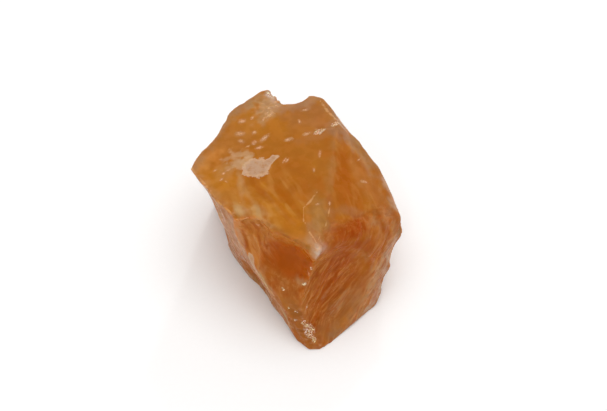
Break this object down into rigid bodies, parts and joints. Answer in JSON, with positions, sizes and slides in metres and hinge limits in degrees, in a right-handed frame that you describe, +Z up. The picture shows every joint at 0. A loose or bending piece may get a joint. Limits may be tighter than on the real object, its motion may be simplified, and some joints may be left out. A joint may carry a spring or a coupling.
{
  "type": "raw orange calcite",
  "caption": "Palm-sized rough lump of translucent orange calcite with broken cleavage faces, resting on its flat lower face.",
  "frame": {"origin": "under the middle of the stone's bounding box, at the height of the flat face it rests on", "axes": "+Z up; -Y towards the front ridge and toe; +X towards the sloping roof face; +Y is the longest extent"},
  "size_m": [0.052, 0.061, 0.035],
  "materials": {
    "calcite": "cloudy translucent honey orange, glassy on cleavage faces, pale along bruised edges"
  },
  "bodies": {
    "root": {"calcite": "calcite"}
  },
  "joints": []
}
